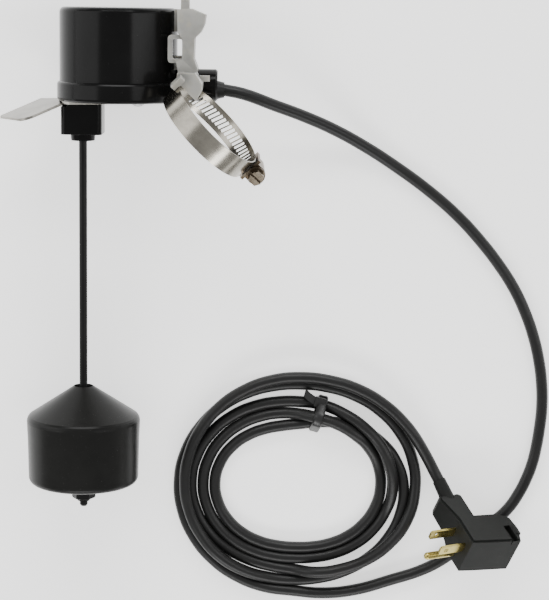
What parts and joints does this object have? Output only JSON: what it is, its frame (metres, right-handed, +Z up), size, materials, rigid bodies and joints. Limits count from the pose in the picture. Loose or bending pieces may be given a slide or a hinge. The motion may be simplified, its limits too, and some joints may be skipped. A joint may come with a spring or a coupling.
{
  "type": "vertical float switch with pipe bracket and piggyback plug",
  "caption": "Vertical float switch for a sump pump: black housing, float on a rod, nylon pipe bracket with worm-drive hose clamp, coiled cord and piggyback plug.",
  "frame": {"origin": "on the surface the switch lies on, below the middle of the box round the switch without its cord, tie and plug", "axes": "+Y along the float rod from the float to the housing, +Z up from the surface, +X towards the cord gland"},
  "size_m": [0.3346, 0.3775, 0.1002],
  "materials": {
    "housing_gloss": "glossy black moulded plastic",
    "float_black": "semi-gloss black moulded plastic",
    "rod_black": "black plastic rod",
    "inner_black": "plain black switch plastic",
    "rubber_black": "black cord rubber",
    "plug_grey": "matte grey-black moulded plug",
    "nylon": "frosted natural nylon",
    "acetal": "white acetal",
    "stainless": "warm grey stainless sheet",
    "zinc": "zinc-plated steel",
    "spring_steel": "spring wire",
    "brass": "plain brass",
    "plunger_red": "red plunger",
    "wire_jacket": "black and white wire insulation"
  },
  "bodies": {
    "switch": {"housing_shell": "housing_gloss", "housing_base": "housing_gloss", "base_gasket": "rubber_black", "base_screws": "zinc", "mounting_plate": "stainless", "plate_screw": "zinc", "plate_nut": "zinc", "neck_block": "housing_gloss", "rod_bush": "acetal", "rod_wiper": "rubber_black", "switch_frame": "stainless", "frame_screws": "zinc", "switch_body": "inner_black", "switch_screws": "zinc", "lever_pin": "zinc", "switch_terminals": "brass", "lead_wires": "wire_jacket", "cord_gland": "housing_gloss", "gland_nut": "inner_black", "strain_relief": "rubber_black", "pipe_bracket": "nylon", "bracket_screws": "zinc", "clamp_band": "stainless", "worm_housing": "stainless", "cord_run": "rubber_black", "cord_coil": "rubber_black", "cord_tail": "rubber_black", "cord_tie": "inner_black", "plug_body": "plug_grey", "plug_rear": "plug_grey", "plug_sleeve": "plug_grey", "plug_blades": "brass", "ground_pin": "brass", "socket_contacts": "brass"},
    "rod": {"float_rod": "rod_black", "rod_collar": "acetal", "rod_end_stop": "housing_gloss", "rod_push_nut": "zinc", "return_spring": "spring_steel"},
    "float": {"float_cone_half": "float_black", "float_cup_half": "float_black", "float_tube": "acetal"},
    "lever": {"switch_lever": "stainless"},
    "plunger": {"switch_plunger": "plunger_red"},
    "worm_screw": {"clamp_screw": "zinc"}
  },
  "joints": [
    {"name": "rod_slide", "type": "slide", "parent": "switch", "child": "rod", "axis": [0, 1, 0], "range_m": [0, 0.005], "deforming": ["return_spring"]},
    {"name": "float_slide", "type": "slide", "parent": "rod", "child": "float", "axis": [0, 1, 0], "range_m": [0, 0.142]},
    {"name": "lever_hinge", "type": "hinge", "parent": "switch", "child": "lever", "pos_m": [0.008, 0.1155, 0.036], "axis": [0, 0, 1], "range_deg": [-8, 0]},
    {"name": "plunger_slide", "type": "slide", "parent": "switch", "child": "plunger", "axis": [0, 1, 0], "range_m": [0, 0.0017]},
    {"name": "clamp_screw_turn", "type": "hinge", "parent": "switch", "child": "worm_screw", "pos_m": [0.07422, 0.05597, 0.05933], "axis": [0.067, -0.2974, 0.9524], "continuous": true}
  ],
  "couplings": [
    {"joint": "lever_hinge", "follows": "rod_slide", "rad_per_m": -27.868},
    {"joint": "plunger_slide", "follows": "rod_slide", "ratio": 0.32}
  ]
}
